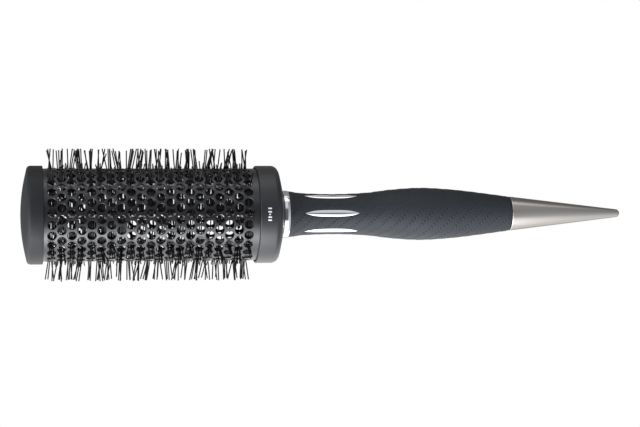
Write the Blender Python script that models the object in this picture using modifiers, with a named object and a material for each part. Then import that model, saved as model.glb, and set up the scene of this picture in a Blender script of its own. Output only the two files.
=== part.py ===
import math

import bmesh
import bpy
from mathutils import Matrix, Vector

# Round barrel brush: a vented metal tube that carries thirteen wire-and-nylon bristle rows,
# held between a tip cap and a collar on a rubber-gripped handle with a pointed metal tail.
# The brush lies along X, with its tip cap at -X, its tail at +X, and +Z up.
# The origin is under the middle of its length, level with the lowest bristle tips.
# Stations along the brush are distances from the outermost point of the tip cap.

MM = 0.001
GAP = 0.3 * MM                  # clearance between neighbouring pieces
WELD = 0.001 * MM               # distance below which two vertices are one
OVERRUN = 1 * MM                # how far a cutter passes the faces that it cuts
ROUND = 30                      # sides of a large turned piece
SMALL_ROUND = 16                # sides of a small turned piece

TOTAL_LENGTH = 266.3 * MM
TIP = -TOTAL_LENGTH / 2         # the tip cap's outermost point along the brush

BARREL_RADIUS = 20.0 * MM
BARREL_WALL = 0.8 * MM
BARREL_START = 4.7 * MM
BARREL_END = 106.0 * MM
BARREL_SIDES = 24

ROWS = 8
ROW_TURN = 2 * math.pi / ROWS
COLUMNS = 21
FIRST_COLUMN = 12.9 * MM
COLUMN_PITCH = 4.17 * MM
HOLES_ROUND = 26                # holes in one ring of the real barrel, vents included
ZIGZAG_TURN = math.pi / HOLES_ROUND / 2     # a row's holes lie this far either side of its wire
HOLE_DIAMETER = 3.83 * MM

WIRE_RADIUS = 0.85 * MM
WIRE_FROM_AXIS = 17.9 * MM
WIRE_SIDES = 4
TUFT_REACH = 28.6 * MM          # from the brush's axis to the bristle tips
TUFT_ROOT_RADIUS = 0.75 * MM
TUFT_TIP_RADIUS = 1.6 * MM
TUFT_SIDES = 3

RIM_RADIUS = 21.2 * MM          # outer radius of the tip cap and of the collar
RIM_BORE = 20.4 * MM
CAP_LENGTH = 9.4 * MM
CAP_DOME_HEIGHT = 2.5 * MM
CAP_EDGE_RADIUS = 1.8 * MM
CAP_POCKET_RADIUS = 7.5 * MM
CAP_CEILING = 2.6 * MM

HUB_RADIUS = 18.7 * MM
HUB_LENGTH = 4.5 * MM
NOTCH_FLOOR = 16.7 * MM
NOTCH_WIDTH = 2.4 * MM
COUNTERBORE_RADIUS = 6.0 * MM
COUNTERBORE_DEPTH = 2.6 * MM

ROD_RADIUS = 1.9 * MM
ROD_START = 3.0 * MM
ROD_END = 121.0 * MM
NUT_START = 2.95 * MM
NUT_THICKNESS = 3.0 * MM
NUT_ACROSS_FLATS = 7.0 * MM
WASHER_RADIUS = 4.8 * MM
WASHER_THICKNESS = 0.8 * MM

COLLAR_START = 101.0 * MM
COLLAR_SHOULDER = 107.9 * MM    # where the collar's straight side ends
SHOULDER_RADIUS = 3.0 * MM
SHOULDER_SWEEP = 62             # degrees of arc before the collar's back slopes in
COLLAR_BACK = 112.7 * MM
COLLAR_SWELL = 0.1 * MM         # how far the sloping back bulges past a straight cone
SPIGOT_RADIUS = 6.5 * MM

RING_START = 113.0 * MM
RING_LENGTH = 2.4 * MM
RING_RADIUS = 10.35 * MM
RING_BEVEL = 0.5 * MM

CORE_RADIUS = 7.6 * MM
CORE_START = 106.6 * MM
CORE_STEP = 115.9 * MM          # where the spigot ends and the full sleeve begins
CORE_TAPER_START = 196.0 * MM
CORE_TAPER_END = 208.0 * MM
CORE_END = 213.5 * MM
CORE_TAIL_RADIUS = 5.2 * MM
CORE_WALL = 1.5 * MM
CORE_PLUG_LENGTH = 8.0 * MM     # solid ends of the sleeve that the rod and the stud screw into

GRIP_START = 115.7 * MM
GRIP_END = 214.9 * MM
# Stations and radii that the grip's smooth outline runs through, front to back.
GRIP_OUTLINE = [
    (115.7 * MM, 10.15 * MM),
    (121.5 * MM, 9.25 * MM),
    (136.5 * MM, 8.80 * MM),
    (150.5 * MM, 9.40 * MM),
    (161.5 * MM, 10.72 * MM),
    (174.8 * MM, 11.52 * MM),
    (188.5 * MM, 10.80 * MM),
    (199.5 * MM, 9.60 * MM),
    (214.9 * MM, 7.60 * MM),
]
GRIP_STEPS = 2                  # rings between two outline points
GRIP_SIDES = 30
WINDOWS = 6
WINDOW_START = 121.9 * MM
WINDOW_LENGTH = 24.0 * MM
WINDOW_WIDTH = 2.6 * MM
WINDOW_TURN = math.radians(-5.25)
LENS_STEPS = 6                  # straight pieces along each side of a window
BEAD_HEIGHT = 1.0 * MM          # the core's raised beads, one in each window
BEAD_INSET = 1.5 * MM           # from the point of a window to the point of its bead

TAIL_START = 215.2 * MM
TAIL_RADIUS = 7.55 * MM
TAIL_TIP_RADIUS = 1.8 * MM
TAIL_EDGE = 0.3 * MM
STUD_RADIUS = 2.0 * MM
STUD_START = 204.0 * MM
STUD_END = 229.0 * MM

CHARCOAL = (0.045, 0.046, 0.050, 1.0)
ANTHRACITE = (0.060, 0.061, 0.066, 1.0)
NYLON = (0.012, 0.012, 0.013, 1.0)
RUBBER = (0.030, 0.031, 0.034, 1.0)
BRIGHT = (0.86, 0.86, 0.88, 1.0)
STEEL = (0.56, 0.57, 0.58, 1.0)
NICKEL = (0.60, 0.57, 0.53, 1.0)
HUB_GREY = (0.030, 0.030, 0.032, 1.0)


# Scene and collections

def clear_scene():
    for old in list(bpy.data.objects):
        bpy.data.objects.remove(old)


def new_collection(name):
    group = bpy.data.collections.new(name)
    bpy.context.scene.collection.children.link(group)
    return group


clear_scene()
BRUSH = new_collection("round_barrel_brush")
CUTTERS = new_collection("cutters")


def make_axis():
    # The brush's own axis: local Z runs towards the tail and local X points up.
    axis = bpy.data.objects.new("brush_axis", None)
    axis.matrix_world = Matrix(((0, 0, 1, 0), (0, -1, 0, 0), (1, 0, 0, 0), (0, 0, 0, 1)))
    BRUSH.objects.link(axis)
    return axis


AXIS = make_axis()


# Materials

def material(name, colour, roughness, metallic=0.0):
    made = bpy.data.materials.new(name)
    made.use_nodes = True
    shader = made.node_tree.nodes["Principled BSDF"]
    shader.inputs["Base Color"].default_value = colour
    shader.inputs["Roughness"].default_value = roughness
    shader.inputs["Metallic"].default_value = metallic
    made.diffuse_color = colour
    return made


# Objects

def add_piece(name, mesh, finish, turn=0.0):
    piece = bpy.data.objects.new(name, mesh)
    BRUSH.objects.link(piece)
    piece.parent = AXIS
    piece.rotation_euler.z = turn
    if finish is not None:
        mesh.materials.clear()
        mesh.materials.append(finish)
    return piece


def add_cutter(name, mesh):
    cutter = bpy.data.objects.new(name, mesh)
    CUTTERS.objects.link(cutter)
    cutter.parent = AXIS
    cutter.hide_render = True
    cutter.display_type = "WIRE"
    return cutter


def smooth(mesh, degrees=35.0):
    mesh.shade_smooth()
    mesh.set_sharp_from_angle(angle=math.radians(degrees))


def combine(piece, tool, operation):
    joint = piece.modifiers.new(operation.lower(), "BOOLEAN")
    joint.operation = operation
    joint.object = tool
    joint.solver = "EXACT"


def baked_mesh(piece, name):
    # The piece's mesh as its modifiers leave it.
    bpy.context.view_layer.update()
    depsgraph = bpy.context.evaluated_depsgraph_get()
    mesh = bpy.data.meshes.new_from_object(piece.evaluated_get(depsgraph))
    mesh.name = name
    return mesh


def mesh_from(build, name):
    # Runs a bmesh recipe and returns its mesh.
    shape = bmesh.new()
    build(shape)
    mesh = bpy.data.meshes.new(name)
    shape.to_mesh(mesh)
    shape.free()
    return mesh


def prism(shape, radius_low, radius_high, low, high, sides, matrix=Matrix()):
    # A closed cylinder or cone on local Z, from height low to height high, placed by matrix.
    place = matrix @ Matrix.Translation((0, 0, (low + high) / 2))
    bmesh.ops.create_cone(
        shape, cap_ends=True, cap_tris=False, segments=sides,
        radius1=radius_low, radius2=radius_high, depth=high - low, matrix=place)


def turned(name, outline, finish, sides=ROUND, closed=True, turn=0.0):
    # A turned piece. The outline lists (station, radius) along the inner side from the tip
    # towards the tail, then back along the outer side, so that the outer side runs down
    # local Z. A closed outline makes a ring; an open one starts and ends on the axis.
    mesh = bpy.data.meshes.new(name)
    points = [(radius, 0.0, TIP + station) for station, radius in outline]
    edges = [(i, i + 1) for i in range(len(points) - 1)]
    if closed:
        edges.append((len(points) - 1, 0))
    mesh.from_pydata(points, edges, [])
    piece = add_piece(name, mesh, finish, turn)
    screw = piece.modifiers.new("turn", "SCREW")
    screw.axis = "Z"
    screw.angle = 2 * math.pi
    screw.steps = sides
    screw.render_steps = sides
    screw.use_merge_vertices = True
    screw.merge_threshold = WELD
    screw.use_smooth_shade = True
    return piece


# Outlines

def arc(station, radius, size, start, end, steps):
    # Points on a circle about (station, radius). Angles are in degrees: 0 points away from
    # the axis and 90 points towards the tail.
    points = []
    for i in range(steps + 1):
        angle = math.radians(start + (end - start) * i / steps)
        points.append((station + size * math.sin(angle), radius + size * math.cos(angle)))
    return points


def grip_radius(station):
    # A smooth curve through GRIP_OUTLINE, with slopes taken from each point's neighbours.
    last = len(GRIP_OUTLINE) - 1

    def slope(i):
        before = GRIP_OUTLINE[max(i - 1, 0)]
        after = GRIP_OUTLINE[min(i + 1, last)]
        return (after[1] - before[1]) / (after[0] - before[0])

    for i in range(last):
        s0, r0 = GRIP_OUTLINE[i]
        s1, r1 = GRIP_OUTLINE[i + 1]
        if station <= s1 or i == last - 1:
            t = (station - s0) / (s1 - s0)
            span = s1 - s0
            rise = (2 * t ** 3 - 3 * t ** 2 + 1) * r0 + (3 * t ** 2 - 2 * t ** 3) * r1
            bend = (t ** 3 - 2 * t ** 2 + t) * slope(i) + (t ** 3 - t ** 2) * slope(i + 1)
            return rise + span * bend


def grip_stations():
    stations = []
    for (s0, _), (s1, _) in zip(GRIP_OUTLINE, GRIP_OUTLINE[1:]):
        stations += [s0 + (s1 - s0) * i / GRIP_STEPS for i in range(GRIP_STEPS)]
    return stations + [GRIP_END]


# Barrel

def hole_places():
    # Station and turn of each tuft hole of one row: they zigzag about the row's wire.
    for column in range(COLUMNS):
        side = -1 if column % 2 == 0 else 1
        yield FIRST_COLUMN + column * COLUMN_PITCH, side * ZIGZAG_TURN


def make_barrel(finish):
    inner = BARREL_RADIUS - BARREL_WALL
    outline = [(BARREL_START, inner), (BARREL_END, inner),
               (BARREL_END, BARREL_RADIUS), (BARREL_START, BARREL_RADIUS)]
    half_side = math.pi / BARREL_SIDES
    barrel = turned("barrel_tube", outline, finish, BARREL_SIDES, turn=half_side - ZIGZAG_TURN)

    # A square hole with the area of the real round one.
    half_diagonal = HOLE_DIAMETER / 2 * math.sqrt(math.pi / 2)

    def drill(shape):
        for row in range(ROWS):
            for station, zigzag in hole_places():
                aim = (Matrix.Translation((0, 0, TIP + station))
                       @ Matrix.Rotation(row * ROW_TURN + zigzag, 4, "Z")
                       @ Matrix.Rotation(math.pi / 2, 4, "Y")
                       @ Matrix.Rotation(math.pi / 4, 4, "Z"))
                prism(shape, half_diagonal, half_diagonal, inner - OVERRUN, BARREL_RADIUS + OVERRUN, 4, aim)

    holes = add_cutter("tuft_holes", mesh_from(drill, "tuft_holes"))
    combine(barrel, holes, "DIFFERENCE")
    return barrel


# Bristle rows

def make_rows(finish):
    start = BARREL_START + 2 * GAP
    end = BARREL_END - 2 * GAP

    def wire(shape):
        place = Matrix.Translation((WIRE_FROM_AXIS, 0, TIP))
        prism(shape, WIRE_RADIUS, WIRE_RADIUS, start, end, WIRE_SIDES, place)

    # One corner of each tuft points along the brush, so a row has no left or right hand.
    def tufts(shape):
        root = WIRE_FROM_AXIS - WIRE_RADIUS / 2
        for station, zigzag in hole_places():
            aim = (Matrix.Translation((0, 0, TIP + station))
                   @ Matrix.Rotation(zigzag, 4, "Z")
                   @ Matrix.Rotation(math.pi / 2, 4, "Y")
                   @ Matrix.Rotation(math.pi / 2, 4, "Z"))
            prism(shape, TUFT_ROOT_RADIUS, TUFT_TIP_RADIUS, root, TUFT_REACH, TUFT_SIDES, aim)

    stem = add_piece("row_stem", mesh_from(wire, "row_stem"), finish)
    fan = add_cutter("row_tufts", mesh_from(tufts, "row_tufts"))
    combine(stem, fan, "UNION")
    row_mesh = baked_mesh(stem, "bristle_row")
    smooth(row_mesh)
    bpy.data.objects.remove(stem)
    bpy.data.objects.remove(fan)
    rows = []
    for row in range(ROWS):
        rows.append(add_piece(f"bristle_row_{row + 1:02d}", row_mesh, finish, row * ROW_TURN))
    return rows


# Tip: cap, hub, washer and nut

def make_tip_cap(finish):
    dome_edge = RIM_RADIUS - CAP_EDGE_RADIUS
    dome_radius = (dome_edge ** 2 + CAP_DOME_HEIGHT ** 2) / (2 * CAP_DOME_HEIGHT)
    spread = math.degrees(math.asin(dome_edge / dome_radius))
    outline = [(CAP_CEILING, 0.0), (CAP_CEILING, CAP_POCKET_RADIUS),
               (BARREL_START - GAP, CAP_POCKET_RADIUS), (BARREL_START - GAP, RIM_BORE),
               (CAP_LENGTH, RIM_BORE), (CAP_LENGTH, RIM_RADIUS - GAP), (CAP_LENGTH - GAP, RIM_RADIUS)]
    outline += arc(CAP_DOME_HEIGHT + CAP_EDGE_RADIUS, dome_edge, CAP_EDGE_RADIUS, 0, spread - 90, 4)
    outline += arc(dome_radius, 0.0, dome_radius, spread - 90, -90, 5)[1:-1]
    outline.append((0.0, 0.0))
    return turned("tip_cap", outline, finish, closed=False)


def cut_notches(hub, start, end):
    def notches(shape):
        depth = HUB_RADIUS - NOTCH_FLOOR + OVERRUN
        for row in range(ROWS):
            box = bmesh.ops.create_cube(shape, size=1.0)["verts"]
            place = (Matrix.Rotation(row * ROW_TURN, 4, "Z")
                     @ Matrix.Translation((NOTCH_FLOOR + depth / 2, 0, TIP + (start + end) / 2))
                     @ Matrix.Diagonal((depth, NOTCH_WIDTH, end - start + 2 * OVERRUN, 1)))
            bmesh.ops.transform(shape, matrix=place, verts=box)

    cutter = add_cutter(hub.name + "_notches", mesh_from(notches, hub.name + "_notches"))
    combine(hub, cutter, "DIFFERENCE")


def make_tip_hub(finish):
    start = BARREL_START
    end = start + HUB_LENGTH
    bore = ROD_RADIUS + GAP
    floor = start + COUNTERBORE_DEPTH
    outline = [(start, COUNTERBORE_RADIUS), (floor, COUNTERBORE_RADIUS), (floor, bore),
               (end, bore), (end, HUB_RADIUS), (start, HUB_RADIUS)]
    hub = turned("tip_hub", outline, finish)
    cut_notches(hub, start, end)
    return hub


def make_rear_hub(finish):
    end = BARREL_END
    start = end - HUB_LENGTH
    bore = ROD_RADIUS + GAP
    outline = [(start, bore), (end, bore), (end, HUB_RADIUS), (start, HUB_RADIUS)]
    hub = turned("rear_hub", outline, finish)
    cut_notches(hub, start, end)
    return hub


def make_washer(finish):
    end = BARREL_START + COUNTERBORE_DEPTH - GAP
    start = end - WASHER_THICKNESS
    bore = ROD_RADIUS + GAP
    outline = [(start, bore), (end, bore), (end, WASHER_RADIUS), (start, WASHER_RADIUS)]
    return turned("tip_washer", outline, finish, SMALL_ROUND)


def make_nut(finish):
    end = NUT_START + NUT_THICKNESS
    corner = NUT_ACROSS_FLATS / math.sqrt(3)

    def hexagon(shape):
        prism(shape, corner, corner, TIP + NUT_START, TIP + end, 6)

    def thread(shape):
        bore = ROD_RADIUS + GAP
        prism(shape, bore, bore, TIP + NUT_START - OVERRUN, TIP + end + OVERRUN, SMALL_ROUND)

    nut = add_piece("tip_nut", mesh_from(hexagon, "tip_nut"), finish)
    combine(nut, add_cutter("nut_thread", mesh_from(thread, "nut_thread")), "DIFFERENCE")
    return nut


def make_rod(name, radius, start, end, finish):
    def bar(shape):
        prism(shape, radius, radius, TIP + start, TIP + end, SMALL_ROUND)

    mesh = mesh_from(bar, name)
    smooth(mesh)
    return add_piece(name, mesh, finish)


# Collar and neck ring

def make_collar(finish):
    floor = BARREL_END + GAP
    socket = SPIGOT_RADIUS + GAP
    shoulder = arc(COLLAR_SHOULDER, RIM_RADIUS - SHOULDER_RADIUS, SHOULDER_RADIUS, 0, SHOULDER_SWEEP, 5)
    back_station, back_radius = shoulder[-1]
    middle = ((back_station + COLLAR_BACK) / 2 + COLLAR_SWELL, (back_radius + RING_RADIUS) / 2)
    outline = [(COLLAR_START, RIM_BORE), (floor, RIM_BORE), (floor, socket), (COLLAR_BACK, socket),
               (COLLAR_BACK, RING_RADIUS), middle]
    outline += reversed(shoulder)
    outline += [(COLLAR_START + GAP, RIM_RADIUS), (COLLAR_START, RIM_RADIUS - GAP)]
    return turned("collar", outline, finish)


def make_neck_ring(finish):
    bore = SPIGOT_RADIUS + GAP
    end = RING_START + RING_LENGTH
    shoulder = RING_RADIUS - RING_BEVEL
    outline = [(RING_START, bore), (end, bore), (end, shoulder)]
    outline += arc(end - RING_BEVEL, shoulder, RING_BEVEL, 60, 0, 2)
    outline += arc(RING_START + RING_BEVEL, shoulder, RING_BEVEL, 0, -60, 2)
    outline += [(RING_START, shoulder)]
    return turned("neck_ring", outline, finish)


# Handle

def lens_outline(half_length, half_width):
    # A pointed oval of two circle arcs, as (distance along, distance across).
    size = (half_length ** 2 + half_width ** 2) / (2 * half_width)
    spread = math.asin(half_length / size)
    angles = [spread * (2 * i / LENS_STEPS - 1) for i in range(LENS_STEPS + 1)]
    half = [(size * math.sin(a), size * math.cos(a) - (size - half_width)) for a in angles]
    return half + [(along, -across) for along, across in reversed(half[1:-1])]


def lens_prisms(shape, half_length, half_width, inside, outside):
    # One pointed-oval prism at the place of each window, from one radius out to another.
    middle = TIP + WINDOW_START + WINDOW_LENGTH / 2
    for window in range(WINDOWS):
        aim = Matrix.Rotation(WINDOW_TURN + window * 2 * math.pi / WINDOWS, 4, "Z")
        foot = []
        for along, across in lens_outline(half_length, half_width):
            foot.append(shape.verts.new(aim @ Vector((inside, across, middle + along))))
        face = shape.faces.new(foot)
        raised = bmesh.ops.extrude_face_region(shape, geom=[face])["geom"]
        moved = [item for item in raised if isinstance(item, bmesh.types.BMVert)]
        bmesh.ops.translate(shape, verts=moved, vec=aim @ Vector((outside - inside, 0, 0)))
    bmesh.ops.recalc_face_normals(shape, faces=shape.faces)


def make_handle_core(finish):
    rod_bore = ROD_RADIUS + GAP
    stud_bore = STUD_RADIUS + GAP
    hollow = CORE_RADIUS - CORE_WALL
    front = CORE_STEP
    back = CORE_END - CORE_PLUG_LENGTH
    outline = [(CORE_START, rod_bore), (front, rod_bore), (front + hollow - rod_bore, hollow),
               (CORE_TAPER_START - CORE_WALL, hollow), (back, stud_bore), (CORE_END, stud_bore),
               (CORE_END, CORE_TAIL_RADIUS), (CORE_TAPER_END, CORE_TAIL_RADIUS),
               (CORE_TAPER_START, CORE_RADIUS), (CORE_STEP, CORE_RADIUS),
               (CORE_STEP, SPIGOT_RADIUS), (CORE_START, SPIGOT_RADIUS)]
    core = turned("handle_core", outline, finish)

    def beads(shape):
        half_length = WINDOW_LENGTH / 2 - BEAD_INSET
        half_width = WINDOW_WIDTH / 2 - GAP
        buried = CORE_RADIUS - CORE_WALL / 2
        lens_prisms(shape, half_length, half_width, buried, CORE_RADIUS + BEAD_HEIGHT)

    combine(core, add_cutter("core_beads", mesh_from(beads, "core_beads")), "UNION")
    return core


def make_grip(finish):
    bore = CORE_RADIUS + GAP
    tail_bore = CORE_TAIL_RADIUS + GAP
    outline = [(GRIP_START, bore), (CORE_TAPER_START, bore),
               (CORE_TAPER_END, tail_bore), (GRIP_END, tail_bore)]
    outline += [(station, grip_radius(station)) for station in reversed(grip_stations())]
    grip = turned("grip_sleeve", outline, finish, GRIP_SIDES)

    def windows(shape):
        inside = CORE_RADIUS - OVERRUN
        lens_prisms(shape, WINDOW_LENGTH / 2, WINDOW_WIDTH / 2, inside, RING_RADIUS + OVERRUN)

    combine(grip, add_cutter("grip_windows", mesh_from(windows, "grip_windows")), "DIFFERENCE")
    return grip


def make_tail(finish):
    bore = STUD_RADIUS + GAP
    bore_end = STUD_END + GAP
    centre = TOTAL_LENGTH - TAIL_TIP_RADIUS
    lean = math.degrees(math.atan((TAIL_RADIUS - TAIL_TIP_RADIUS) / (centre - TAIL_START)))
    outline = [(bore_end, 0.0), (bore_end, bore), (TAIL_START, bore)]
    outline += [(TAIL_START, TAIL_RADIUS - TAIL_EDGE), (TAIL_START + TAIL_EDGE, TAIL_RADIUS)]
    outline += arc(centre, 0.0, TAIL_TIP_RADIUS, lean, 90, 4)[:-1]
    outline.append((TOTAL_LENGTH, 0.0))
    return turned("tail_cone", list(reversed(outline)), finish, closed=False)


def stand_on_tips(rows):
    # Lifts the axis so that the lowest bristle tips are at Z = 0.
    bpy.context.view_layer.update()
    lowest = min((row.matrix_world @ vertex.co).z for row in rows for vertex in row.data.vertices)
    AXIS.location.z -= lowest
    bpy.context.view_layer.update()


def main():
    charcoal = material("charcoal_plastic", CHARCOAL, 0.42)
    anthracite = material("barrel_coating", ANTHRACITE, 0.38, 0.4)
    nylon = material("black_nylon", NYLON, 0.35)
    rubber = material("grip_rubber", RUBBER, 0.62)
    bright = material("bright_metal", BRIGHT, 0.08, 1.0)
    steel = material("plain_steel", STEEL, 0.30, 1.0)
    nickel = material("satin_nickel", NICKEL, 0.28, 1.0)
    hub_grey = material("hub_plastic", HUB_GREY, 0.55)

    make_tip_cap(charcoal)
    make_tip_hub(hub_grey)
    make_washer(steel)
    make_nut(steel)
    make_barrel(anthracite)
    rows = make_rows(nylon)
    make_rear_hub(hub_grey)
    make_collar(charcoal)
    make_rod("tie_rod", ROD_RADIUS, ROD_START, ROD_END, steel)
    make_neck_ring(bright)
    make_handle_core(bright)
    make_grip(rubber)
    make_rod("tail_stud", STUD_RADIUS, STUD_START, STUD_END, steel)
    make_tail(nickel)
    stand_on_tips(rows)


main()
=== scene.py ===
import math
import random

import bmesh
import bpy
from mathutils import Matrix, Vector


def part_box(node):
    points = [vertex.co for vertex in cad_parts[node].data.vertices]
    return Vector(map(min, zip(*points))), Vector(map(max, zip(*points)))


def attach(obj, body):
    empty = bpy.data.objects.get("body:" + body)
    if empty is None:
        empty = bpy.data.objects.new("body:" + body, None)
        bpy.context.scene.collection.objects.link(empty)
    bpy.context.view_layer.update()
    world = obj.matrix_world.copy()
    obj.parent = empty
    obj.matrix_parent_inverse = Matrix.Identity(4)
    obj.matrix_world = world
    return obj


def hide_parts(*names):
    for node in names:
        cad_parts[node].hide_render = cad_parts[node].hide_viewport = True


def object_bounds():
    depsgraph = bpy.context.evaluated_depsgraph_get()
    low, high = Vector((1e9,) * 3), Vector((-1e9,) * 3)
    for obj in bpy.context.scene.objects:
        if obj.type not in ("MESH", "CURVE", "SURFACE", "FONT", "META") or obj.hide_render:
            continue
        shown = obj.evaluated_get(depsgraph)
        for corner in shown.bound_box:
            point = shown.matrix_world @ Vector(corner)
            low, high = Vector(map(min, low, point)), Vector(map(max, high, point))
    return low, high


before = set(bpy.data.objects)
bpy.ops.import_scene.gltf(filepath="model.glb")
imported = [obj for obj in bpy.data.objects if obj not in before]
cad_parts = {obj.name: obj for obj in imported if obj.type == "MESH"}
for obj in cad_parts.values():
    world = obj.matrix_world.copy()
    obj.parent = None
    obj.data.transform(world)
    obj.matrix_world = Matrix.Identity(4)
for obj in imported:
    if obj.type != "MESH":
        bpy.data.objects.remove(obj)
cadBounds = [list(corner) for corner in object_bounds()]

mm = 0.001
weld = 0.002 * mm  # points closer than this are one point
rimReach = 0.01 * mm  # how near an open edge lies to the ring it belongs to
rodLow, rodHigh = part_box("tie_rod")
axisHeight = (rodLow.z + rodHigh.z) / 2  # the brush's own axis runs along X at this height
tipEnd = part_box("tip_cap")[0].x  # stations along the brush are counted from here
rowCount = len([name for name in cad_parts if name.startswith("bristle_row")])
rowTurn = 2 * math.pi / rowCount
random.seed(40)
print("frame loaded:", len(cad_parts), "nodes,", rowCount, "bristle rows")


# general helpers

def around(x, radius, turn):
    # a point beside the axis; turn is counted from straight up towards -Y
    return Vector((x, -radius * math.sin(turn), axisHeight + radius * math.cos(turn)))


def onlySelect(piece):
    bpy.ops.object.select_all(action="DESELECT")
    piece.select_set(True)
    bpy.context.view_layer.objects.active = piece


def bakePlace(piece):
    onlySelect(piece)
    bpy.ops.object.transform_apply(location=True, rotation=True, scale=True)


def tidyShell(piece, sharpAngle):
    # merges doubles, turns faces outwards and shades by angle
    onlySelect(piece)
    bpy.ops.object.mode_set(mode="EDIT")
    bpy.ops.mesh.select_all(action="SELECT")
    bpy.ops.mesh.remove_doubles(threshold=weld)
    bpy.ops.mesh.normals_make_consistent(inside=False)
    bpy.ops.object.mode_set(mode="OBJECT")
    bpy.ops.object.shade_smooth_by_angle(angle=math.radians(sharpAngle))


def spinOutline(name, outline, steps, sharpAngle=38):
    # draws an outline of (station, radius) points by extruding one vertex, then spins it round the axis
    station, radius = outline[0]
    bpy.ops.object.select_all(action="DESELECT")
    bpy.ops.mesh.primitive_plane_add(size=1 * mm, location=(tipEnd + station, 0, axisHeight + radius))
    piece = bpy.context.object
    piece.name = name
    bakePlace(piece)
    bpy.ops.object.mode_set(mode="EDIT")
    bpy.ops.mesh.select_all(action="SELECT")
    bpy.ops.mesh.merge(type="CENTER")
    for nextStation, nextRadius in outline[1:]:
        step = (nextStation - station, 0, nextRadius - radius)
        bpy.ops.mesh.extrude_vertices_move(TRANSFORM_OT_translate={"value": step})
        station, radius = nextStation, nextRadius
    bpy.ops.mesh.select_all(action="SELECT")
    bpy.ops.mesh.spin(steps=steps, angle=2 * math.pi, center=(0, 0, axisHeight), axis=(1, 0, 0))
    bpy.ops.object.mode_set(mode="OBJECT")
    tidyShell(piece, sharpAngle)
    return piece


def selectRim(piece, station, radius=None):
    # picks the open edges that lie at one station, and at one radius where that is given
    bpy.ops.mesh.select_all(action="DESELECT")
    shape = bmesh.from_edit_mesh(piece.data)
    for edge in shape.edges:
        atStation = all(abs(v.co.x - tipEnd - station) < rimReach for v in edge.verts)
        radii = [math.hypot(v.co.y, v.co.z - axisHeight) for v in edge.verts]
        atRadius = radius is None or all(abs(r - radius) < rimReach for r in radii)
        if edge.is_boundary and atStation and atRadius:
            edge.select = True
    bmesh.update_edit_mesh(piece.data)


def extrudeRing(fromStation, fromRadius, toStation, toRadius):
    # extrudes the selected ring to another station and radius
    bpy.ops.mesh.extrude_edges_move(TRANSFORM_OT_translate={"value": (toStation - fromStation, 0, 0)})
    scale = toRadius / fromRadius
    bpy.ops.transform.resize(value=(1, scale, scale), center_override=(0, 0, axisHeight))


def arc(station, radius, size, start, end, steps):
    # circle points about (station, radius); 0 degrees points outwards and 90 towards the tail
    points = []
    for i in range(steps + 1):
        angle = math.radians(start + (end - start) * i / steps)
        points.append((station + size * math.sin(angle), radius + size * math.cos(angle)))
    return points


def duplicate(piece):
    # a copy with its own mesh
    twin = piece.copy()
    twin.data = piece.data.copy()
    bpy.context.scene.collection.objects.link(twin)
    return twin


def swing(piece, station, turn):
    # takes a mesh that stands upright on the origin to its station and turns it round the axis
    place = Matrix.Translation((tipEnd + station, 0, axisHeight))
    piece.data.transform(place @ Matrix.Rotation(turn, 4, "X"))


def joinPieces(pieces, name):
    bpy.ops.object.select_all(action="DESELECT")
    for piece in pieces:
        piece.select_set(True)
    bpy.context.view_layer.objects.active = pieces[0]
    bpy.ops.object.join()
    pieces[0].name = name
    return pieces[0]


def addArray(piece, count, offset):
    onlySelect(piece)
    bpy.ops.object.modifier_add(type="ARRAY")
    array = piece.modifiers[-1]
    array.count = count
    array.use_relative_offset = False
    array.use_constant_offset = True
    array.constant_offset_displace = offset
    bpy.ops.object.modifier_apply(modifier=array.name)


def finishPiece(piece, material, slot, *nodes):
    piece.data.materials.clear()
    piece.data.materials.append(material)
    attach(piece, "root")
    if nodes:
        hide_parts(*nodes)
    return piece


# shader helpers and the effects that several finishes share

def addNode(tree, kind, inputs=None, **settings):
    node = tree.nodes.new(kind)
    for label, value in settings.items():
        setattr(node, label, value)
    for label, value in (inputs or {}).items():
        node.inputs[label].default_value = value
    return node


def newGroup(name, inputs, outputs):
    group = bpy.data.node_groups.new(name, "ShaderNodeTree")
    for label, kind, value in inputs:
        socket = group.interface.new_socket(label, in_out="INPUT", socket_type=kind)
        if value is not None:
            socket.default_value = value
    for label, kind in outputs:
        group.interface.new_socket(label, in_out="OUTPUT", socket_type=kind)
    return group, group.nodes.new("NodeGroupInput"), group.nodes.new("NodeGroupOutput")


def makeGrainGroup():
    # moulded or cast surface: two sizes of noise as a height
    group, given, out = newGroup(
        "mouldedGrain",
        [("Vector", "NodeSocketVector", None), ("Size", "NodeSocketFloat", 4000.0),
         ("Coarse", "NodeSocketFloat", 0.4)],
        [("Height", "NodeSocketFloat")])
    fine = addNode(group, "ShaderNodeTexNoise", {"Detail": 3})
    broad = addNode(group, "ShaderNodeTexNoise", {"Detail": 1})
    broadSize = addNode(group, "ShaderNodeMath", {1: 0.2}, operation="MULTIPLY")
    blend = addNode(group, "ShaderNodeMix")
    link = group.links.new
    link(given.outputs["Vector"], fine.inputs["Vector"])
    link(given.outputs["Vector"], broad.inputs["Vector"])
    link(given.outputs["Size"], fine.inputs["Scale"])
    link(given.outputs["Size"], broadSize.inputs[0])
    link(broadSize.outputs[0], broad.inputs["Scale"])
    link(given.outputs["Coarse"], blend.inputs["Factor"])
    link(fine.outputs["Fac"], blend.inputs["A"])
    link(broad.outputs["Fac"], blend.inputs["B"])
    link(blend.outputs["Result"], out.inputs["Height"])
    return group


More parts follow.
